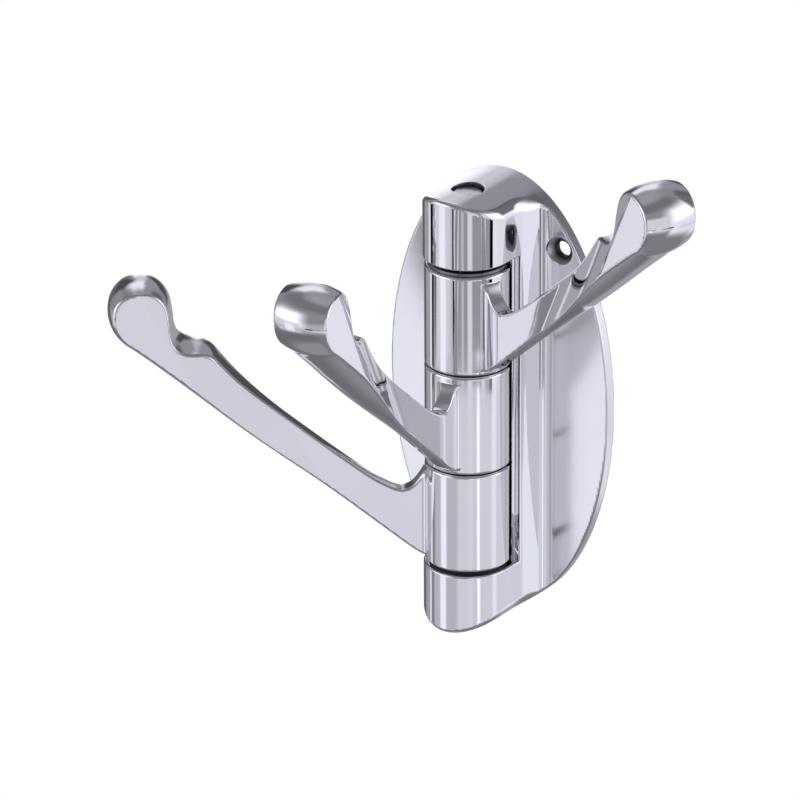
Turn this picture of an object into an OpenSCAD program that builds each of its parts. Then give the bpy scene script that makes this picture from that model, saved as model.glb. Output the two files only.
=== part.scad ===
// Folding wall hook: an oval plate with a spine and two lugs, a steel pin,
// and three equal swivel arms stacked on the pin.
// Frame: X to the right along the wall, Y into the wall, Z up.
// The wall plane is Y = 0 and the origin is the middle of the plate's back.
// All sizes are in millimetres.

/* [Wall plate] */
// Width of the oval plate
plate_w = 50.6; // [48:0.1:60]
// Height of the oval plate
plate_h = 90.8; // [88:0.1:100]
// Thickness of the plate at its rim
plate_t = 2.5; // [2:0.1:2.8]
// Diameter of each screw hole
screw_d = 3.2; // [3:0.1:3.4]
// Diameter of the countersink at the plate's front
sink_d = 5.6; // [5.2:0.1:5.8]
// Sideways distance from the plate's middle to a screw hole
screw_x = 14.2; // [13.4:0.1:14.4]
// Height of a screw hole above or below the plate's middle
screw_z = 31.9; // [28:0.1:32]

/* [Spine and lugs] */
// Diameter of the rounded front of the lugs
lug_d = 17.5; // [17.2:0.1:18]
// Distance from the wall to the middle of the pin
pin_out = 13; // [12.8:0.1:14]
// Angle at which the spine's sides flare towards the plate
flare_deg = 20; // [15:1:25]
// Radius of the hollow blend between the spine and the plate
blend_r = 2.6; // [2:0.1:3]
// Radius of the round pocket that the knuckles turn in
pocket_r = 9.9; // [9.6:0.05:10.1]

/* [Knuckles] */
// Diameter of an arm's knuckle
knuckle_d = 17; // [16.4:0.1:17.2]
// Height of an arm's knuckle
knuckle_h = 20.5; // [20:0.1:20.8]
// Chamfer on the knuckle's two ends
knuckle_chamfer = 0.4; // [0.2:0.1:0.6]
// Height of the lower lug's top face (negative, below the plate's middle)
lug_top = -32.8; // [-33.4:0.1:-32]
// Thickness of the washer under the lowest knuckle
low_washer_t = 0.8; // [0.5:0.1:1]
// Thickness of the two washers between the knuckles
mid_washer_t = 0.3; // [0.2:0.1:0.5]
// Free height of the dished spring washer over the top knuckle
spring_h = 1.5; // [1.2:0.1:1.8]
// Thickness of the dished spring washer's sheet
spring_t = 0.6; // [0.4:0.1:0.8]

/* [Pin] */
// Diameter of the pin
pin_d = 6; // [5:0.1:6.4]
// Radial clearance of the pin in each knuckle
pin_play = 0.06; // [0.03:0.01:0.09]
// Depth of the pin's end below the top of the upper lug
pin_sunk = 0.9; // [0.5:0.1:2]

/* [Arms] */
// Half thickness of an arm's web
web_half = 1.65; // [1.4:0.05:1.9]
// Half width of an arm's tip
tip_half = 5.6; // [5:0.1:6]
// Radius of the blend between the web and the knuckle
root_r = 1; // [0.8:0.1:3]
// Lean of the line where the web starts to widen
lean_deg = 27; // [20:1:30]
// Turn of the lower arm from straight out, to the right is positive
lower_turn = -54; // [-90:1:-30]
// Turn of the middle arm from straight out
middle_turn = 7; // [-20:1:30]
// Turn of the upper arm from straight out
upper_turn = 67; // [40:1:90]
// How far the lower arm's tip hangs below its drawn line (negative, it stands higher)
lower_sag = -0.4; // [-1:0.1:1]
// How far the middle arm's tip hangs below its drawn line
middle_sag = -1.2; // [-1.5:0.1:1]
// How far the upper arm's tip hangs below its drawn line
upper_sag = 1; // [-1:0.1:2]

/* [Hidden] */
$fn = 96;
lug_r = lug_d / 2;
knuckle_r = knuckle_d / 2;
pin_r = pin_d / 2;
e = 0.01;

// heights of the stack on the pin, from the lower lug upwards
z_low = lug_top + low_washer_t;
z_mid = z_low + knuckle_h + mid_washer_t;
z_up = z_mid + knuckle_h + mid_washer_t;
z_spring = z_up + knuckle_h;
z_lug = z_spring + spring_h;
pin_bottom = lug_top - 7;
pin_top = plate_h / 2 - pin_sunk;

// ---- base casting ----
// place where the spine's side starts to flare, level with the pocket's edge
flare_y = -pin_out + sqrt(pocket_r * pocket_r - lug_r * lug_r) - 0.6;
// middle of the blend circle, tangent to the flared side and the plate
blend_y = -plate_t - blend_r;
blend_x = lug_r + (blend_r + (blend_y - flare_y) * sin(flare_deg)) / cos(flare_deg);
// tangent point on the flared side
tan_x = blend_x - blend_r * cos(flare_deg);
tan_y = blend_y + blend_r * sin(flare_deg);

// horizontal section of the plate, spine and lugs
module base_section() {
    translate([-plate_w / 2 - 1, -plate_t]) square([plate_w + 2, plate_t]);
    translate([0, -pin_out]) circle(r = lug_r);
    difference() {
        polygon([[lug_r, -pin_out], [lug_r, flare_y], [tan_x, tan_y], [blend_x, -plate_t],
                 [blend_x, -e], [-blend_x, -e], [-blend_x, -plate_t], [-tan_x, tan_y],
                 [-lug_r, flare_y], [-lug_r, -pin_out]]);
        for (s = [-1, 1]) translate([s * blend_x, blend_y]) circle(r = blend_r);
    }
}

// the oval that bounds the casting in front view, from behind the wall plane outwards
module base_oval() {
    translate([0, 1, 0]) rotate([90, 0, 0]) linear_extrude(height = pin_out + lug_r + 3)
        scale([plate_w / plate_h, 1]) circle(d = plate_h);
}

module screw_hole() {
    translate([screw_x, 0, screw_z]) rotate([90, 0, 0]) {
        translate([0, 0, -1]) cylinder(d = screw_d, h = plate_t + 2);
        // countersink, carried on forwards so that the blend leaves room for the screw's head
        translate([0, 0, plate_t - (sink_d - screw_d) / 2])
            cylinder(d1 = screw_d, d2 = sink_d, h = (sink_d - screw_d) / 2);
        translate([0, 0, plate_t - e]) cylinder(d = sink_d, h = 5);
    }
}

module wall_base() {
    color("silver") difference() {
        intersection() {
            translate([0, 0, -plate_h / 2 - 1]) linear_extrude(height = plate_h + 2) base_section();
            base_oval();
        }
        // pocket between the lugs
        translate([0, -pin_out, lug_top]) cylinder(r = pocket_r, h = z_lug - lug_top);
        // blind seat in the lower lug and through hole in the upper lug
        translate([0, -pin_out, pin_bottom]) cylinder(r = pin_r, h = lug_top - pin_bottom + 1);
        translate([0, -pin_out, z_lug - 1]) cylinder(r = pin_r, h = plate_h / 2 - z_lug + 3);
        screw_hole();
        rotate([0, 180, 0]) screw_hole();
    }
}

// steel pin with a small chamfer on each end
module pivot_pin() {
    color("gainsboro") translate([0, -pin_out, 0]) rotate_extrude()
        polygon([[0, pin_bottom], [pin_r - 0.4, pin_bottom], [pin_r, pin_bottom + 0.4],
                 [pin_r, pin_top - 0.4], [pin_r - 0.4, pin_top], [0, pin_top]]);
}

// ---- arms ----
// corner points of the side view, outwards from the pin and up from the knuckle's bottom face,
// from the saddle beside the knuckle, over the hump and notch and round the tip
side_top = [[6.5, 19.9], [8.4, 19.2], [9.7, 17.2], [11.2, 15.5], [13.3, 14.8], [16, 15.9],
            [20, 18.4], [30, 26.2], [39, 33.6], [44, 38.4], [47.2, 42.1], [49, 44.3],
            [51, 45.4], [53.6, 46], [55.6, 47.2], [56.5, 49.6], [56.8, 52.4], [57.4, 55.4],
            [59, 57.8], [61.4, 59.2], [64.1, 59.3], [66.9, 58.1], [68.8, 55.6], [69.3, 52.5],
            [68.6, 49.5], [66.8, 47], [63.8, 44.8], [56.5, 39], [42.3, 27.3], [25, 13.6],
            [12, 3], [9, 0.9]];
// one span of a smooth curve through four neighbouring points
function span(a, b, c, d, t) =
    0.5 * (2 * b + (c - a) * t + (2 * a - 5 * b + 4 * c - d) * t * t
           + (3 * b - a - 3 * c + d) * t * t * t);
// smooth curve through a list of points, with n steps in each span
function smooth(p, n) = [
    for (i = [0 : len(p) - 2]) for (j = [0 : n - 1])
        span(p[max(i - 1, 0)], p[i], p[i + 1], p[min(i + 2, len(p) - 1)], j / n),
    p[len(p) - 1]];
side_line = concat(smooth(side_top, 4), [[6.5, 0.7]]);

// half width of the arm across the line that leans outwards
widen_from = 17;
widen_to = 30.5;
function ease(t) = t * t * (3 - 2 * t);
function half_width(q) = web_half + (tip_half - web_half)
    * ease(min(max((q - widen_from) / (widen_to - widen_from), 0), 1));
width_steps = 14;
width_line = concat([[-30, web_half]],
    [for (i = [0 : width_steps]) let (q = widen_from + (widen_to - widen_from) * i / width_steps)
        [q, half_width(q)]],
    [[60, tip_half]]);

// plan of the blend between the knuckle and the web
root_s = web_half + root_r;
root_x = sqrt((knuckle_r + root_r) * (knuckle_r + root_r) - root_s * root_s);
root_k = knuckle_r / (knuckle_r + root_r);
module root_plan() {
    difference() {
        polygon([[4, 0], [root_x * root_k, root_s * root_k], [root_x, root_s * 0.8], [root_x, web_half],
                 [root_x, -web_half], [root_x, -root_s * 0.8], [root_x * root_k, -root_s * root_k]]);
        for (s = [-1, 1]) translate([root_x, s * root_s]) circle(r = root_r);
    }
}

module arm_blade() {
    intersection() {
        rotate([90, 0, 0]) linear_extrude(height = 16, center = true) polygon(side_line);
        union() {
            rotate([0, lean_deg, 0]) linear_extrude(height = 200, center = true)
                polygon(concat(width_line,
                    [for (i = [len(width_line) - 1 : -1 : 0]) [width_line[i][0], -width_line[i][1]]]));
            linear_extrude(height = knuckle_h) root_plan();
        }
    }
}

module knuckle() {
    rotate_extrude() polygon([[pin_r + pin_play - 1, 0], [knuckle_r - knuckle_chamfer, 0],
        [knuckle_r, knuckle_chamfer], [knuckle_r, knuckle_h - knuckle_chamfer],
        [knuckle_r - knuckle_chamfer, knuckle_h], [pin_r + pin_play - 1, knuckle_h]]);
}

// an arm turned on the pin, its blade hanging by sag at the tip
module arm(turn, z, sag) {
    k = -sag / 57;
    translate([0, -pin_out, z]) rotate([0, 0, turn - 90]) difference() {
        union() {
            knuckle();
            multmatrix([[1, 0, 0, 0], [0, 1, 0, 0], [k, 0, 1, -8 * k], [0, 0, 0, 1]]) arm_blade();
        }
        translate([0, 0, -1]) cylinder(r = pin_r + pin_play, h = knuckle_h + 2);
    }
}

module lower_arm() { color("silver") arm(lower_turn, z_low, lower_sag); }
module middle_arm() { color("silver") arm(middle_turn, z_mid, middle_sag); }
module upper_arm() { color("silver") arm(upper_turn, z_up, upper_sag); }

// ---- washers ----
module flat_washer(z, t, r) {
    translate([0, -pin_out, z]) difference() {
        cylinder(r = r, h = t);
        translate([0, 0, -1]) cylinder(r = pin_r + 0.15, h = t + 2);
    }
}

// dished spring washer: its outer rim stands on the knuckle, its inner rim meets the lug
module spring_washer() {
    color("dimgray") translate([0, -pin_out, z_spring]) rotate_extrude()
        polygon([[pin_r + 0.15, spring_h - spring_t], [knuckle_r - 1, 0], [knuckle_r - 0.7, 0],
                 [knuckle_r - 0.7, spring_t], [pin_r + 0.6, spring_h], [pin_r + 0.15, spring_h]]);
}

module upper_washer() { color("gray") flat_washer(z_up - mid_washer_t, mid_washer_t, knuckle_r - 0.5); }
module middle_washer() { color("gray") flat_washer(z_mid - mid_washer_t, mid_washer_t, knuckle_r - 0.5); }
module lower_washer() { color("gray") flat_washer(lug_top, low_washer_t, knuckle_r - 0.9); }

wall_base();
pivot_pin();
lower_arm();
middle_arm();
upper_arm();
spring_washer();
upper_washer();
middle_washer();
lower_washer();
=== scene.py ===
import math

import bpy
import numpy as np
from mathutils import Matrix, Vector


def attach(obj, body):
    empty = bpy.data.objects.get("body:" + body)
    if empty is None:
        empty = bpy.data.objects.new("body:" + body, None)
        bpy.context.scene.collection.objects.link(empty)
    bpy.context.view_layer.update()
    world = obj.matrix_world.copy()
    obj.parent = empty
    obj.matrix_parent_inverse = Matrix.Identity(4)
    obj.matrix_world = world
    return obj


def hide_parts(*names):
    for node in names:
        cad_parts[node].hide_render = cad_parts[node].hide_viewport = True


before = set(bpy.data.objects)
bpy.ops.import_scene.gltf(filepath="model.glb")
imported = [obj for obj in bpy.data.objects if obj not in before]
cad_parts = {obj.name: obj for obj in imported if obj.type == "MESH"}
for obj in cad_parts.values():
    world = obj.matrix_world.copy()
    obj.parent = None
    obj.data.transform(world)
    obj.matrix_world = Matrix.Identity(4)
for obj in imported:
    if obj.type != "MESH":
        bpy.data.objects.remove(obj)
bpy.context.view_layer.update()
MM = 0.001

# ------------------------------------------------------------------ camera
CAM_POS = (0.708028, -1.063966, 0.564511)
CAM_RIGHT = (0.824777, 0.565435, -0.005138)
CAM_UP = (-0.225860, 0.337755, 0.913734)
CAM_LOOK = (-0.518392, 0.752466, -0.406281)
cam_data = bpy.data.cameras.new("camera")
cam_data.sensor_fit = "HORIZONTAL"
cam_data.sensor_width = 36.0
cam_data.lens = 7171.2176 * 36.0 / 800.0
cam_data.clip_start = 0.05
cam_data.clip_end = 20.0
cam = bpy.data.objects.new("camera", cam_data)
bpy.context.scene.collection.objects.link(cam)
m = Matrix.Identity(4)
for row in range(3):
    m[row][0], m[row][1], m[row][2] = CAM_RIGHT[row], CAM_UP[row], -CAM_LOOK[row]
    m[row][3] = CAM_POS[row]
cam.matrix_world = m
bpy.context.scene.camera = cam
bpy.context.scene.view_settings.view_transform = "Standard"
bpy.context.scene.view_settings.look = "None"

# ------------------------------------------------------------------ sizes, as in the CAD
PIN_OUT = 13.0
PIN_R = 3.0
PLAY = 0.06
PLATE_W, PLATE_H, PLATE_T = 50.6, 90.8, 2.5
LUG_R = 8.75
FLARE = math.radians(20)
POCKET_R = 9.9
KNUCKLE_R, KNUCKLE_H = 8.5, 20.5
LUG_TOP = -32.8
Z_LOW = LUG_TOP + 0.8
Z_MID = Z_LOW + KNUCKLE_H + 0.3
Z_UP = Z_MID + KNUCKLE_H + 0.3
Z_SPRING = Z_UP + KNUCKLE_H
Z_LUG = Z_SPRING + 1.5
PIN_BOTTOM, PIN_TOP = LUG_TOP - 7, PLATE_H / 2 - 0.9
TURNS = {"lower": -54.0, "middle": 7.0, "upper": 67.0}
WEB, TIP = 1.65, 5.6
LEAN = math.radians(27)


# ------------------------------------------------------------------ solid-shape helpers
# A solid is a function that is negative inside, close to a distance in millimetres.
def meet(a, b, r):
    """Where two solids overlap, the shared edge rounded to r."""
    return np.minimum(-r, np.maximum(a, b)) + np.hypot(np.maximum(a + r, 0), np.maximum(b + r, 0))


def join(a, b, r):
    """Two solids as one, the hollow corner between them filled to r."""
    return np.maximum(r, np.minimum(a, b)) - np.hypot(np.maximum(r - a, 0), np.maximum(r - b, 0))


def melt(a, b, k):
    """Two solids as one across a shallow corner."""
    h = np.maximum(k - np.abs(a - b), 0) / k
    return np.minimum(a, b) - h * h * k / 4


def ease(t):
    t = np.clip(t, 0, 1)
    return t * t * (3 - 2 * t)


def steps(*stops):
    """Grid lines from (place, step) pairs: each stretch up to the next place has about that step."""
    out = [stops[0][0]]
    for (a, h), (b, _) in zip(stops, stops[1:]):
        out += list(np.linspace(a, b, max(1, round((b - a) / h)) + 1)[1:])
    return np.array(out, float)


def nets(f, ax, relax=2):
    """Quad mesh of the surface f = 0 on a grid, with its vertices on the surface and its exact normals."""
    n = np.array([len(a) for a in ax])
    gap = [np.diff(a) for a in ax]
    cell = min(g.min() for g in gap)
    v = np.empty(tuple(n), np.float32)
    step = max(1, int(400000 // (n[1] * n[2])))
    for i in range(0, n[0], step):
        x, y, z = np.meshgrid(ax[0][i : i + step], ax[1], ax[2], indexing="ij")
        v[i : i + step] = f(x, y, z)
    inside = v < 0
    total = np.zeros(tuple(n - 1), np.int8)
    for a in (0, 1):
        for b in (0, 1):
            for c in (0, 1):
                total += inside[a : n[0] - 1 + a, b : n[1] - 1 + b, c : n[2] - 1 + c]
    cells = np.argwhere((total > 0) & (total < 8))
    index = np.full(tuple(n - 1), -1, np.int64)
    index[tuple(cells.T)] = np.arange(len(cells))
    acc = np.zeros((len(cells), 3))
    cnt = np.zeros(len(cells))
    corner = [(a, b, c) for a in (0, 1) for b in (0, 1) for c in (0, 1)]
    for p in corner:
        for axis in range(3):
            if p[axis]:
                continue
            q = list(p)
            q[axis] = 1
            vp = v[tuple((cells + p).T)].astype(float)
            vq = v[tuple((cells + q).T)].astype(float)
            cross = (vp < 0) != (vq < 0)
            t = np.where(cross, vp / np.where(cross, vp - vq, 1), 0)
            pos = np.array(p, float)[None, :].repeat(len(cells), 0)
            pos[:, axis] += t
            acc[cross] += pos[cross]
            cnt[cross] += 1
    verts = np.stack([ax[i][cells[:, i]] + gap[i][cells[:, i]] * acc[:, i] / cnt for i in range(3)], 1)
    quads = []
    for axis in range(3):
        b, c = (axis + 1) % 3, (axis + 2) % 3
        s0, s1 = [slice(None)] * 3, [slice(None)] * 3
        s0[axis], s1[axis] = slice(0, n[axis] - 1), slice(1, n[axis])
        flip = inside[tuple(s0)] != inside[tuple(s1)]
        e = np.argwhere(flip)
        keep = (e[:, b] > 0) & (e[:, b] < n[b] - 1) & (e[:, c] > 0) & (e[:, c] < n[c] - 1)
        e = e[keep]
        ring = []
        for db, dc in ((-1, -1), (0, -1), (0, 0), (-1, 0)):
            o = e.copy()
            o[:, b] += db
            o[:, c] += dc
            ring.append(index[tuple(o.T)])
        q = np.stack(ring, 1)
        out = inside[tuple(e.T)]
        q[~out] = q[~out][:, ::-1]
        quads.append(q)
    quads = np.concatenate(quads)

    def slope(p):
        h = 0.004
        g = np.empty_like(p)
        for i in range(3):
            d = np.zeros(3)
            d[i] = h
            g[:, i] = (f(*(p + d).T) - f(*(p - d).T)) / (2 * h)
        return g

    def settle(p, rounds):
        for _ in range(rounds):
            g = slope(p)
            g2 = np.maximum((g * g).sum(1), 0.04)
            move = (f(*p.T) / g2)[:, None] * g
            size = np.linalg.norm(move, axis=1, keepdims=True)
            move *= np.minimum(1, 0.5 * cell / np.maximum(size, 1e-9))
            p = p - move
        return p

    verts = settle(verts, 2)
    for _ in range(relax):
        near = np.zeros_like(verts)
        num = np.zeros(len(verts))
        for k in range(4):
            a, b = quads[:, k], quads[:, (k + 1) % 4]
            for i in range(3):
                near[:, i] += np.bincount(a, verts[b, i], len(verts)) + np.bincount(b, verts[a, i], len(verts))
            num += np.bincount(a, minlength=len(verts)) + np.bincount(b, minlength=len(verts))
        mid = near / num[:, None]
        g = slope(verts)
        g /= np.maximum(np.linalg.norm(g, axis=1, keepdims=True), 1e-9)
        move = mid - verts
        move -= (move * g).sum(1, keepdims=True) * g
        verts = settle(verts + 0.6 * move, 1)
    verts = settle(verts, 2)
    g = slope(verts)
    g /= np.maximum(np.linalg.norm(g, axis=1, keepdims=True), 1e-9)
    return verts, quads, g


def mesh_piece(name, verts, faces, normals, material):
    me = bpy.data.meshes.new(name)
    me.vertices.add(len(verts))
    me.vertices.foreach_set("co", (np.asarray(verts) * MM).astype(np.float32).ravel())
    me.loops.add(len(faces) * 4)
    me.loops.foreach_set("vertex_index", faces.astype(np.int32).ravel())
    me.polygons.add(len(faces))
    me.polygons.foreach_set("loop_start", np.arange(0, len(faces) * 4, 4, dtype=np.int32))
    me.polygons.foreach_set("use_smooth", np.ones(len(faces), bool))
    me.update(calc_edges=True)
    me.validate()
    me.normals_split_custom_set_from_vertices(np.asarray(normals, np.float32))
    me.materials.append(material)
    obj = bpy.data.objects.new(name, me)
    bpy.context.scene.collection.objects.link(obj)
    return obj


def rounded(points, steps=6):
    """Corner points (r, z, radius) of a closed section, with each corner turned into an arc."""
    out = []
    n = len(points)
    for i in range(n):
        p = np.array(points[i][:2], float)
        a = np.array(points[i - 1][:2], float) - p
        b = np.array(points[(i + 1) % n][:2], float) - p
        la, lb = np.linalg.norm(a), np.linalg.norm(b)
        a, b = a / la, b / lb
        r = points[i][2]
        half = math.acos(max(-1, min(1, float(a @ b)))) / 2
        if r <= 0 or half > 1.55:
            out.append(p)
            continue
        t = min(r / math.tan(half), 0.49 * la, 0.49 * lb)
        r = t * math.tan(half)
        mid = p + (a + b) / np.linalg.norm(a + b) * (r / math.sin(half))
        s, e = p + a * t - mid, p + b * t - mid
        w0 = math.atan2(s[1], s[0])
        w1 = math.atan2(e[1], e[0])
        d = (w1 - w0 + math.pi) % (2 * math.pi) - math.pi
        for k in range(steps + 1):
            w = w0 + d * k / steps
            out.append(mid + r * np.array([math.cos(w), math.sin(w)]))
    return np.array(out)


def lathe(name, section, material, turns=128, closed=True):
    """A turned piece on the pin's axis. A section that isn't closed starts and ends on the axis."""
    sec = np.asarray(section, float)
    n = len(sec)
    w = np.arange(turns) * 2 * math.pi / turns
    verts, rows = [], []
    for r, z in sec:
        if r < 1e-6:
            rows.append([len(verts)] * turns)
            verts.append((0.0, -PIN_OUT, z))
        else:
            rows.append(list(range(len(verts), len(verts) + turns)))
            verts += [(r * math.cos(a), -PIN_OUT + r * math.sin(a), z) for a in w]
    faces = []
    for i in range(n if closed else n - 1):
        p, q = rows[i], rows[(i + 1) % n]
        for k in range(turns):
            j = (k + 1) % turns
            f = []
            for v in (p[k], p[j], q[j], q[k]):
                if v not in f:
                    f.append(v)
            faces.append(f)
    me = bpy.data.meshes.new(name)
    me.from_pydata([(x * MM, y * MM, z * MM) for x, y, z in verts], [], faces)
    me.update()
    me.validate()
    area = 0.0
    for p in me.polygons:
        area += p.center.dot(p.normal) * p.area
    if area < 0:
        me.flip_normals()
    for p in me.polygons:
        p.use_smooth = True
    me.set_sharp_from_angle(angle=math.radians(40))
    me.materials.append(material)
    obj = bpy.data.objects.new(name, me)
    bpy.context.scene.collection.objects.link(obj)
    return obj


# ------------------------------------------------------------------ materials
def new_material(name):
    mat = bpy.data.materials.new(name)
    mat.use_nodes = True
    nt = mat.node_tree
    nt.nodes.clear()
    out = nt.nodes.new("ShaderNodeOutputMaterial")
    bsdf = nt.nodes.new("ShaderNodeBsdfPrincipled")
    nt.links.new(bsdf.outputs["BSDF"], out.inputs["Surface"])
    return mat, nt, bsdf


def noise(nt, coord, scale, detail, rough=0.5):
    n = nt.nodes.new("ShaderNodeTexNoise")
    n.inputs["Scale"].default_value = scale
    n.inputs["Detail"].default_value = detail
    n.inputs["Roughness"].default_value = rough
    nt.links.new(coord, n.inputs["Vector"])
    return n.outputs["Fac"]


def remap(nt, value, a, b, c, d):
    n = nt.nodes.new("ShaderNodeMapRange")
    n.inputs["From Min"].default_value = a
    n.inputs["From Max"].default_value = b
    n.inputs["To Min"].default_value = c
    n.inputs["To Max"].default_value = d
    nt.links.new(value, n.inputs["Value"])
    return n.outputs["Result"]


def ramp(nt, value, stops, interpolation="LINEAR"):
    n = nt.nodes.new("ShaderNodeValToRGB")
    n.color_ramp.interpolation = interpolation
    el = n.color_ramp.elements
    el[0].position, el[0].color = stops[0][0], tuple(stops[0][1]) + (1,)
    el[1].position, el[1].color = stops[-1][0], tuple(stops[-1][1]) + (1,)
    for pos, col in stops[1:-1]:
        e = el.new(pos)
        e.color = tuple(col) + (1,)
    nt.links.new(value, n.inputs["Fac"])
    return n.outputs["Color"]


def bump(nt, bsdf, height, strength, distance):
    n = nt.nodes.new("ShaderNodeBump")
    n.inputs["Strength"].default_value = strength
    n.inputs["Distance"].default_value = distance
    nt.links.new(height, n.inputs["Height"])
    nt.links.new(n.outputs["Normal"], bsdf.inputs["Normal"])


def maths(nt, op, *values):
    n = nt.nodes.new("ShaderNodeMath")
    n.operation = op
    for i, v in enumerate(values):
        if isinstance(v, (int, float)):
            n.inputs[i].default_value = v
        else:
            nt.links.new(v, n.inputs[i])
    return n.outputs[0]


def reach(nt, a, a0, b, b0):
    """Distance in metres from an axis, in the plane of the coordinates a and b."""
    da = maths(nt, "SUBTRACT", a, a0)
    db = maths(nt, "SUBTRACT", b, b0)
    return maths(nt, "SQRT", maths(nt, "ADD", maths(nt, "MULTIPLY", da, da), maths(nt, "MULTIPLY", db, db)))


def chrome(name, casting=False):
    """Bright plating. On the casting it is a little hazier on the flat plate, and its drilled holes are coloured near
    black: painted shade for the deep holes, over thin, rough plating there.
    """
    mat, nt, bsdf = new_material(name)
    co = nt.nodes.new("ShaderNodeTexCoord").outputs["Object"]
    tone = noise(nt, co, 28.0, 3.0)
    colour = ramp(nt, tone, [(0.3, (0.86, 0.862, 0.885)), (0.7, (0.885, 0.885, 0.9))])
    haze = noise(nt, co, 55.0, 4.0, 0.6)
    rough = remap(nt, haze, 0.35, 0.7, 0.022, 0.05)
    if casting:
        xyz = nt.nodes.new("ShaderNodeSeparateXYZ")
        nt.links.new(co, xyz.inputs[0])
        x, y, z = xyz.outputs
        flat = remap(nt, y, -0.0034, -0.0026, 0.0, 0.16)
        rough = maths(nt, "ADD", rough, flat)
        # painted shade: the pin bore and the screw holes get a near-black colour for the shade deep inside them, with
        # rougher, thinly plated metal there
        bore = remap(nt, reach(nt, x, 0.0, y, -0.013), 0.0030, 0.0033, 1.0, 0.0)
        near = maths(nt, "MINIMUM", reach(nt, x, 0.0142, z, 0.0319), reach(nt, x, -0.0142, z, -0.0319))
        screw = remap(nt, near, 0.0017, 0.0026, 1.0, 0.3)
        screw = maths(nt, "MULTIPLY", screw, remap(nt, near, 0.0027, 0.00285, 1.0, 0.0))
        shade_and_bare_metal = maths(nt, "MAXIMUM", bore, screw)
        n = nt.nodes.new("ShaderNodeMix")
        n.data_type = "RGBA"
        nt.links.new(shade_and_bare_metal, n.inputs[0])
        nt.links.new(colour, n.inputs[6])
        # the near-black colour of the holes is painted shade
        nt.links.new(ramp(nt, haze, [(0.3, (0.03, 0.03, 0.034)), (0.7, (0.07, 0.07, 0.075))]), n.inputs[7])
        colour = n.outputs[2]
        rough = maths(nt, "ADD", rough, maths(nt, "MULTIPLY", shade_and_bare_metal, 0.35))
    nt.links.new(colour, bsdf.inputs["Base Color"])
    nt.links.new(rough, bsdf.inputs["Roughness"])
    bsdf.inputs["Metallic"].default_value = 1.0
    wave = noise(nt, co, 120.0, 1.0)
    bump(nt, bsdf, wave, 0.05, 0.0004)
    return mat


def turned_steel(name, low, high, rough_low, rough_high):
    mat, nt, bsdf = new_material(name)
    co = nt.nodes.new("ShaderNodeTexCoord").outputs["Object"]
    mp = nt.nodes.new("ShaderNodeMapping")
    mp.inputs["Scale"].default_value = (1.0, 1.0, 9.0)
    nt.links.new(co, mp.inputs["Vector"])
    streak = noise(nt, mp.outputs["Vector"], 900.0, 3.0, 0.6)
    nt.links.new(ramp(nt, streak, [(0.3, low), (0.7, high)]), bsdf.inputs["Base Color"])
    nt.links.new(remap(nt, streak, 0.3, 0.7, rough_low, rough_high), bsdf.inputs["Roughness"])
    bsdf.inputs["Metallic"].default_value = 1.0
    bump(nt, bsdf, streak, 0.12, 0.00005)
    return mat


def gap_shade_plastic():
    # near-black washers: black plastic, coloured this dark also as painted shade in the gaps between the knuckles
    mat, nt, bsdf = new_material("washer_plastic")
    co = nt.nodes.new("ShaderNodeTexCoord").outputs["Object"]
    grain = noise(nt, co, 1400.0, 3.0, 0.6)
    nt.links.new(ramp(nt, grain, [(0.3, (0.012, 0.012, 0.014)), (0.7, (0.022, 0.022, 0.025))]), bsdf.inputs["Base Color"])
    nt.links.new(remap(nt, grain, 0.3, 0.7, 0.42, 0.58), bsdf.inputs["Roughness"])
    bump(nt, bsdf, grain, 0.15, 0.00004)
    return mat


M_CHROME = chrome("chrome_plating")
M_CASTING = chrome("chrome_plated_casting", True)
M_PIN = turned_steel("turned_pin_steel", (0.70, 0.70, 0.72), (0.82, 0.82, 0.84), 0.2, 0.3)
M_SPRING = turned_steel("dark_spring_steel", (0.20, 0.20, 0.22), (0.32, 0.32, 0.35), 0.26, 0.4)
M_GAP_SHADE_PLASTIC = gap_shade_plastic()


# ------------------------------------------------------------------ the casting on the wall
FLARE_Y = -PIN_OUT + math.sqrt(POCKET_R**2 - LUG_R**2) - 0.6
ZC, ZH = (Z_LUG + LUG_TOP) / 2, (Z_LUG - LUG_TOP) / 2


def base_shape(x, y, z):
    ax = np.abs(x)
    stadium = np.hypot(x, np.minimum(y + PIN_OUT, 0)) - LUG_R
    flare = np.maximum((ax - LUG_R) * math.cos(FLARE) - (y - FLARE_Y) * math.sin(FLARE), -PIN_OUT - y)
    spine = melt(stadium, flare, 0.6)
    plan = join(-(y + PLATE_T), spine, 1.68)
    a, b = PLATE_W / 2, PLATE_H / 2
    k0 = np.sqrt((x / a) ** 2 + (z / b) ** 2) + 1e-9
    k1 = np.sqrt((x / a**2) ** 2 + (z / b**2) ** 2) + 1e-9
    oval = k0 * (k0 - 1) / k1
    edge = 0.35 + 1.15 * ease((-y - PLATE_T) / 4.5) - 0.7 * ease((-y - 12) / 7)
    out = meet(plan, oval, edge)
    out = meet(out, y, 0.25)
    rho = np.hypot(x, y + PIN_OUT)
    pocket = np.maximum(rho - POCKET_R, np.abs(z - ZC) - ZH)
    out = meet(out, -pocket, 0.3)
    bore = np.maximum(rho - PIN_R - 0.02, PIN_BOTTOM - 0.05 - z)
    out = meet(out, -bore, 0.22)
    for sx, sz in ((14.2, 31.9), (-14.2, -31.9)):
        q = np.hypot(x - sx, z - sz)
        hole = np.minimum(q - 1.6, np.maximum((q - 1.6 + y + 1.3) * 0.7071, q - 2.8))
        out = meet(out, -hole, 0.12)
    return out


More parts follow.
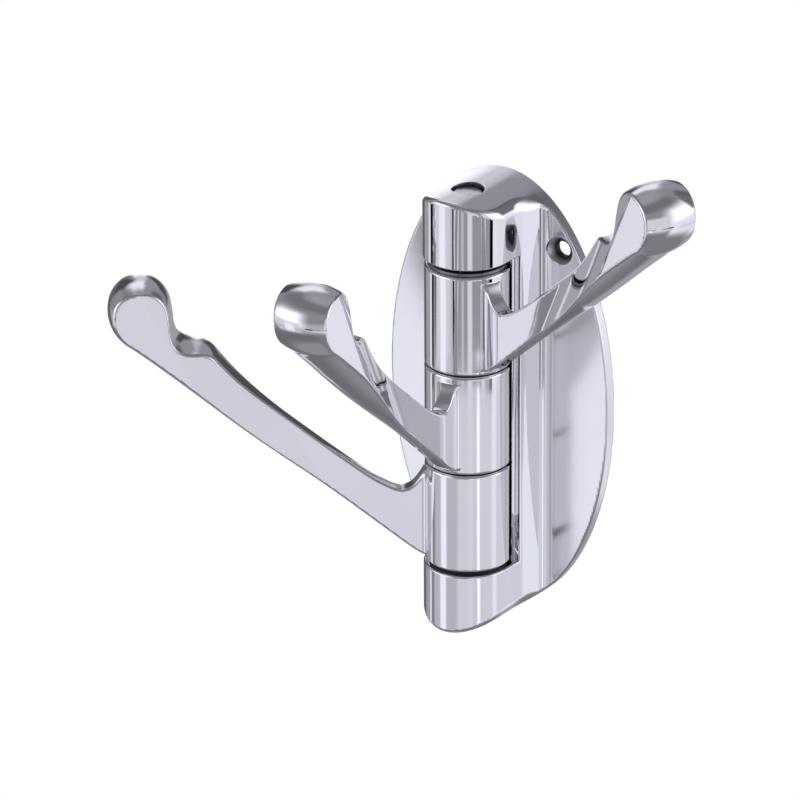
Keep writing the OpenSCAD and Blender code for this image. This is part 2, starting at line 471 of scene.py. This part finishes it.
# ------------------------------------------------------------------ the arms
SIDE = [(6.5, 19.9), (8.4, 19.2), (9.7, 17.2), (11.2, 15.5), (13.3, 14.8), (16, 15.9),
        (20, 18.4), (30, 26.2), (39, 33.6), (44, 38.4), (47.2, 42.1), (49, 44.3),
        (51, 45.4), (53.6, 46), (55.6, 47.2), (56.5, 49.6), (56.8, 52.4), (57.4, 55.4),
        (59, 57.8), (61.4, 59.2), (64.1, 59.3), (66.9, 58.1), (68.8, 55.6), (69.3, 52.5),
        (68.6, 49.5), (66.8, 47), (63.8, 44.8), (56.5, 39), (42.3, 27.3), (25, 13.6),
        (12, 3), (9, 0.9)]


def side_curve():
    """The arm's side view as a dense closed curve, its corners at the knuckle kept inside the knuckle."""
    p = np.array(SIDE)
    pts = []
    for i in range(len(p) - 1):
        a, b, c, d = p[max(i - 1, 0)], p[i], p[i + 1], p[min(i + 2, len(p) - 1)]
        for t in np.arange(40) / 40:
            pts.append(0.5 * (2 * b + (c - a) * t + (2 * a - 5 * b + 4 * c - d) * t**2 + (3 * b - a - 3 * c + d) * t**3))
    pts.append(p[-1])
    pts = np.array(pts)
    seg = np.r_[0, np.cumsum(np.linalg.norm(np.diff(pts, axis=0), axis=1))]
    n = int(seg[-1] / 0.06)
    u = np.linspace(0, seg[-1], n)
    pts = np.stack([np.interp(u, seg, pts[:, i]) for i in (0, 1)], 1)
    # softened along its length, so that the curve bends evenly
    k = np.arange(-24, 25)
    w = np.exp(-0.5 * (k * 0.06 / 0.45) ** 2)
    w /= w.sum()
    pad = np.concatenate([2 * pts[0] - pts[24:0:-1], pts, 2 * pts[-1] - pts[-2:-26:-1]])
    return np.stack([np.convolve(pad[:, i], w, "valid") for i in (0, 1)], 1)


def field_of(curve, lo, hi, h):
    """Signed distance from a dense closed curve on a grid of step h, positive outside."""
    nx, ny = (np.ceil((np.array(hi) - lo) / h)).astype(int) + 1
    gx, gy = lo[0] + h * np.arange(nx), lo[1] + h * np.arange(ny)
    q = np.stack(np.meshgrid(gx, gy, indexing="ij"), -1).reshape(-1, 2)
    n = len(curve)
    a, b = curve, np.roll(curve, -1, 0)
    d = b - a
    ln = (d * d).sum(1)
    stride = 16
    rough = curve[::stride]
    dist = np.empty(len(q))
    near = np.arange(-stride - 2, stride + 2)
    for s in range(0, len(q), 20000):
        p = q[s : s + 20000]
        k = ((p[:, None, 0] - rough[:, 0]) ** 2 + (p[:, None, 1] - rough[:, 1]) ** 2).argmin(1) * stride
        best = np.full(len(p), 1e9)
        for o in near:
            i = (k + o) % n
            rx, ry = p[:, 0] - a[i, 0], p[:, 1] - a[i, 1]
            t = np.clip((rx * d[i, 0] + ry * d[i, 1]) / ln[i], 0, 1)
            best = np.minimum(best, (rx - t * d[i, 0]) ** 2 + (ry - t * d[i, 1]) ** 2)
        dist[s : s + 20000] = np.sqrt(best)
    dist = dist.reshape(nx, ny)
    for j, y in enumerate(gy):
        hit = (a[:, 1] <= y) != (b[:, 1] <= y)
        x = np.sort(a[hit, 0] + (y - a[hit, 1]) * d[hit, 0] / d[hit, 1])
        odd = (len(x) - np.searchsorted(x, gx)) % 2 == 1
        dist[odd, j] *= -1
    return dist


class Field:
    """Smooth look-up in a grid, by cubic convolution."""

    def __init__(self, grid, lo, h):
        self.g, self.lo, self.h = grid, lo, h

    def __call__(self, x, y):
        u = np.clip((x - self.lo[0]) / self.h, 1, self.g.shape[0] - 3.001)
        v = np.clip((y - self.lo[1]) / self.h, 1, self.g.shape[1] - 3.001)
        i, j = u.astype(int), v.astype(int)
        u, v = u - i, v - j

        def w(t):
            return (((-0.5 * t + 1) * t - 0.5) * t, (1.5 * t - 2.5) * t * t + 1,
                    ((-1.5 * t + 2) * t + 0.5) * t, (0.5 * t - 0.5) * t * t)

        wu, wv = w(u), w(v)
        out = 0.0
        for a in range(4):
            row = 0.0
            for b in range(4):
                row = row + wv[b] * self.g[i + a - 1, j + b - 1]
            out = out + wu[a] * row
        return out


LO2, STEP2 = (4.0, -2.5), 0.2
curve = side_curve()
closed = np.concatenate([curve, [(6.0, 0.7 + 0.1 * i) for i in range(193)]])
side = Field(field_of(closed, LO2, (72.0, 63.0), STEP2), LO2, STEP2)
WIDE_FROM, WIDE_TO = 17.0, 30.5
SAG = {"lower": -0.4, "middle": -1.2, "upper": 1.0}


def arm_shape(r, s, z):
    c = np.hypot(r, s) - KNUCKLE_R
    q = r * math.cos(LEAN) - z * math.sin(LEAN)
    t = np.clip((q - WIDE_FROM) / (WIDE_TO - WIDE_FROM), 0, 1)
    half = WEB + (TIP - WEB) * t * t * (3 - 2 * t)
    tilt = (TIP - WEB) * 6 * t * (1 - t) / (WIDE_TO - WIDE_FROM)
    b = (np.abs(s) - half) / np.sqrt(1 + tilt * tilt)
    # the top of the tip and the underside are more crowned than the outer side
    depth = (r - 56.5) * 0.645 - (z - 39) * 0.765
    crown = 0.85 + 0.35 * ease((depth + 9) / 6) + 0.45 * ease((z - 54.5) / 4)
    a = side(r, z) + crown * (s / TIP) ** 2
    web = join(b, c, 1.0)
    blade = meet(web, a, 0.45)
    blade = np.maximum(blade, 5.0 - r)
    knuckle = meet(c, np.abs(z - KNUCKLE_H / 2) - KNUCKLE_H / 2, 0.5)
    out = np.minimum(blade, knuckle)
    return meet(out, PIN_R + PLAY - np.hypot(r, s), 0.25)


arm_v, arm_f, arm_n = nets(arm_shape, (steps((-9.2, 0.36), (70.2, 0)), steps((-9.2, 0.34), (9.2, 0)), steps((-0.8, 0.36), (60.4, 0))))
base_v, base_f, base_n = nets(base_shape, (
    steps((-25.9, 0.34), (-17.4, 0.22), (-11, 0.36), (-5, 0.44), (5, 0.36), (11, 0.22), (17.4, 0.34), (25.9, 0)),
    steps((-22.4, 0.33), (-4, 0.25), (0.7, 0)),
    steps((-46, 0.34), (-35.1, 0.22), (-28.7, 0.8), (28.7, 0.22), (35.1, 0.34), (46, 0)),
))

base = mesh_piece("wall_casting", base_v, base_f, base_n, M_CASTING)
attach(base, "base")
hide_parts("wall_base")

for which, z0 in (("lower", Z_LOW), ("middle", Z_MID), ("upper", Z_UP)):
    al = math.radians(TURNS[which])
    out = np.array([math.sin(al), -math.cos(al), 0])
    across = np.array([math.cos(al), math.sin(al), 0])
    up = np.array([0, 0, 1.0])
    turn = np.stack([out, across, up])
    lean = -SAG[which] / 57
    local, normal = arm_v.copy(), arm_n.copy()
    blade = local[:, 0] > 8
    local[blade, 2] += lean * (local[blade, 0] - 8)
    normal[blade, 0] -= lean * normal[blade, 2]
    normal /= np.linalg.norm(normal, axis=1, keepdims=True)
    v = local @ turn + np.array([0, -PIN_OUT, z0])
    piece = mesh_piece("%s_hook_arm" % which, v, arm_f, normal @ turn, M_CHROME)
    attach(piece, "%s_hook" % which)
    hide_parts("%s_arm" % which)

# ------------------------------------------------------------------ pin and washers
pin = lathe("pin", rounded([(0, PIN_BOTTOM, 0), (PIN_R - 0.005, PIN_BOTTOM, 0.45), (PIN_R - 0.005, PIN_TOP, 0.45), (0, PIN_TOP, 0)]), M_PIN, closed=False)
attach(pin, "base")
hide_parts("pivot_pin")

SPH, SPT = 1.5, 0.6
sec = [(PIN_R + 0.15, Z_SPRING + SPH - SPT, 0.12), (KNUCKLE_R - 1, Z_SPRING, 0.1), (KNUCKLE_R - 0.7, Z_SPRING, 0.1),
       (KNUCKLE_R - 0.7, Z_SPRING + SPT, 0.2), (PIN_R + 0.6, Z_SPRING + SPH, 0.2), (PIN_R + 0.15, Z_SPRING + SPH, 0.1)]
spring = lathe("dished_spring", rounded(sec), M_SPRING)
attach(spring, "base")
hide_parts("spring_washer")

# the washers in the gaps are near black: black plastic, and painted shade of the gaps
for name, node, z, t, r in (("washer_high", "upper_washer", Z_UP - 0.3, 0.3, KNUCKLE_R - 0.5),
                            ("washer_middle", "middle_washer", Z_MID - 0.3, 0.3, KNUCKLE_R - 0.5),
                            ("washer_low", "lower_washer", LUG_TOP, 0.8, KNUCKLE_R - 0.9)):
    c = min(0.12, t * 0.35)
    w = lathe(name, rounded([(PIN_R + 0.15, z, c), (r, z, c), (r, z + t, c), (PIN_R + 0.15, z + t, c)]), M_GAP_SHADE_PLASTIC)
    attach(w, "base")
    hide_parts(node)

# ------------------------------------------------------------------ floor
def plane(name, centre, size):
    me = bpy.data.meshes.new(name)
    h = size / 2
    me.from_pydata([(-h, -h, 0), (h, -h, 0), (h, h, 0), (-h, h, 0)], [], [(0, 1, 2, 3)])
    obj = bpy.data.objects.new(name, me)
    obj.location = centre
    bpy.context.scene.collection.objects.link(obj)
    return obj


floor = plane("floor", (0, 0, -0.30), 16.0)
fm = bpy.data.materials.new("pale_floor")
fm.use_nodes = True
nt = fm.node_tree
nt.nodes.clear()
fo = nt.nodes.new("ShaderNodeOutputMaterial")
em = nt.nodes.new("ShaderNodeEmission")
em.inputs["Color"].default_value = (1, 1, 1, 1)
em.inputs["Strength"].default_value = 1.0
nt.links.new(em.outputs["Emission"], fo.inputs["Surface"])
floor.data.materials.append(fm)
floor.visible_glossy = False
floor.visible_diffuse = False

# ------------------------------------------------------------------ studio light
world = bpy.data.worlds.new("studio")
bpy.context.scene.world = world
world.use_nodes = True
nt = world.node_tree
nt.nodes.clear()


def math_node(op, *values):
    n = nt.nodes.new("ShaderNodeMath")
    n.operation = op
    for i, v in enumerate(values):
        if isinstance(v, (int, float)):
            n.inputs[i].default_value = v
        else:
            nt.links.new(v, n.inputs[i])
    return n.outputs[0]


def fade(value, a, b, c, d):
    """A smooth step from c at a to d at b."""
    n = nt.nodes.new("ShaderNodeMapRange")
    n.interpolation_type = "SMOOTHSTEP"
    for name, v in (("From Min", a), ("From Max", b), ("To Min", c), ("To Max", d)):
        n.inputs[name].default_value = v
    nt.links.new(value, n.inputs["Value"])
    return n.outputs["Result"]


sky = nt.nodes.new("ShaderNodeSeparateXYZ")
nt.links.new(nt.nodes.new("ShaderNodeTexCoord").outputs["Generated"], sky.inputs[0])
# degrees: azimuth from straight out of the wall towards +X, and elevation
azimuth = math_node("MULTIPLY", math_node("ARCTAN2", sky.outputs[0], math_node("MULTIPLY", sky.outputs[1], -1.0)), 180 / math.pi)
elevation = math_node("MULTIPLY", math_node("ARCSINE", sky.outputs[2]), 180 / math.pi)


def patch(tone, middle, half, soft, low, high, soft_el, level):
    """Paint a patch of the surroundings over tone: azimuth middle +- half, elevation low to high."""
    soft_low, soft_high = soft_el if isinstance(soft_el, tuple) else (soft_el, soft_el)
    off = math_node("FLOORED_MODULO", math_node("SUBTRACT", azimuth, middle - 180.0), 360.0)
    off = math_node("ABSOLUTE", math_node("SUBTRACT", off, 180.0))
    cover = fade(off, half - soft / 2, half + soft / 2, 1.0, 0.0)
    if low > -90:
        cover = math_node("MULTIPLY", cover, fade(elevation, low - soft_low / 2, low + soft_low / 2, 0.0, 1.0))
    if high < 90:
        cover = math_node("MULTIPLY", cover, fade(elevation, high - soft_high / 2, high + soft_high / 2, 1.0, 0.0))
    return math_node("MULTIPLY_ADD", math_node("SUBTRACT", level, tone), cover, tone)


# The room's walls, reflector cards, two softboxes and narrow black flags around the hook:
# (middle, half width, soft edge, elevation from, to, soft edge, brightness as it shows in chrome)
# The upright faces mirror what lies between 22 and 26 degrees down. The stands of the black
# flags end at 23.8 degrees down, so that they show in the upper half only.
END = -23.78
UPPER, UPPER_SOFT = (END, -21.6), (0.3, 1.2)
LOWER, LOWER_SOFT = (-28.0, END), (4.0, 0.3)
STUDIO = [
    (-75, 85, 20, -90, -36, 16, 0.42),    # dark table, left
    (-75, 85, 20, -90, -58, 18, 0.54),
    (105, 62, 16, -90, -38, 18, 0.48),    # table, right
    (6, 30, 16, -33, -8, 14, 0.66),
    (15, 115, 40, 36, 68, 18, 0.44),      # dark front wall, high up
    (0, 181, 1, 68, 90, 26, 0.58),        # ceiling
    (-38, 28, 28, -22, 22, (12, 22), 1.03),    # softbox, left
    (119, 30, 32, -22, 28, (14, 26), 1.03),    # softbox, right
    (178, 31, 5, -46, -6, 10, 0.60),      # wall card behind
    (62, 28, 12, -30, 10, 16, 0.81),      # card in front, right
    (157, 9, 4, -40, -12, 8, 0.88),
    (-143.5, 7, 3, -30, 20, 8, 0.98),     # white edge behind, left
    (-146, 11, 20, 12, 56, 26, 0.78),
    (-118, 13, 10, 0, 34, 12, 0.29),      # dark curtain, left
    (-138, 26, 24, 36, 60, 16, 0.90),     # small light, behind left
    (-170, 12, 8, 3, 46, 12, 0.55),       # dark door behind
    (157, 14, 8, 10, 44, 12, 0.38),
    (144, 9, 8, 2, 36, 10, 0.42),
    (-168, 13, 8, -8, 14, 10, 0.30),
    (-122, 15, 6, -33, 2, 8, 0.38),
    (-96, 11, 6, -33, -12, 6, 0.60),
    (-38, 23, 12, -33, -12, 10, 0.80),      # card in front of the plate
    (122, 28, 12, -40, -12, 16, 0.87),
    (-20, 44, 10) + LOWER + (LOWER_SOFT, 0.70),
    (27, 22, 12) + LOWER + (LOWER_SOFT, 0.80),
    (61, 4.5, 4) + LOWER + (LOWER_SOFT, 1.0),
    (108, 42, 14) + LOWER + (LOWER_SOFT, 0.80),
    (50, 43, 3) + UPPER + (UPPER_SOFT, 0.56),
    (74, 5, 3) + UPPER + (UPPER_SOFT, 0.85),
    (20, 3, 3) + UPPER + (UPPER_SOFT, 0.72),
    (-35, 9, 7, -32, -16, 10, 0.93),
    (105.4, 7, 6, -30, -18, 8, 0.89),     # card beside the neck
    (-80.2, 4.2, 1, -34, -15, 6, 0.86),   # card at the left
    (38.8, 6, 5, -31, -17, 8, 0.82),    # card at the right
    (-70, 4.2, 1.6) + UPPER + (UPPER_SOFT, 0.02),
    (0, 6, 2) + UPPER + (UPPER_SOFT, 0.02),
    (95.5, 4.2, 1.6) + UPPER + (UPPER_SOFT, 0.02),
]
tone = math_node("ADD", fade(elevation, -60, 30, 0.47, 0.53), 0.0)
for entry in STUDIO:
    tone = patch(tone, *entry)
tone = math_node("MULTIPLY", tone, 1 / 0.94)
cool = nt.nodes.new("ShaderNodeCombineColor")
for channel, tint in enumerate((0.983, 0.988, 1.03)):
    nt.links.new(math_node("MULTIPLY", tone, tint), cool.inputs[channel])
light = nt.nodes.new("ShaderNodeGamma")
light.inputs["Gamma"].default_value = 2.2
nt.links.new(cool.outputs["Color"], light.inputs["Color"])
paths = nt.nodes.new("ShaderNodeLightPath")
seen = nt.nodes.new("ShaderNodeMix")
seen.data_type = "RGBA"
nt.links.new(paths.outputs["Is Camera Ray"], seen.inputs[0])
nt.links.new(light.outputs["Color"], seen.inputs[6])
seen.inputs[7].default_value = (1, 1, 1, 1)
bg = nt.nodes.new("ShaderNodeBackground")
nt.links.new(seen.outputs[2], bg.inputs["Color"])
bg.inputs["Strength"].default_value = 1.0
wo = nt.nodes.new("ShaderNodeOutputWorld")
nt.links.new(bg.outputs[0], wo.inputs["Surface"])
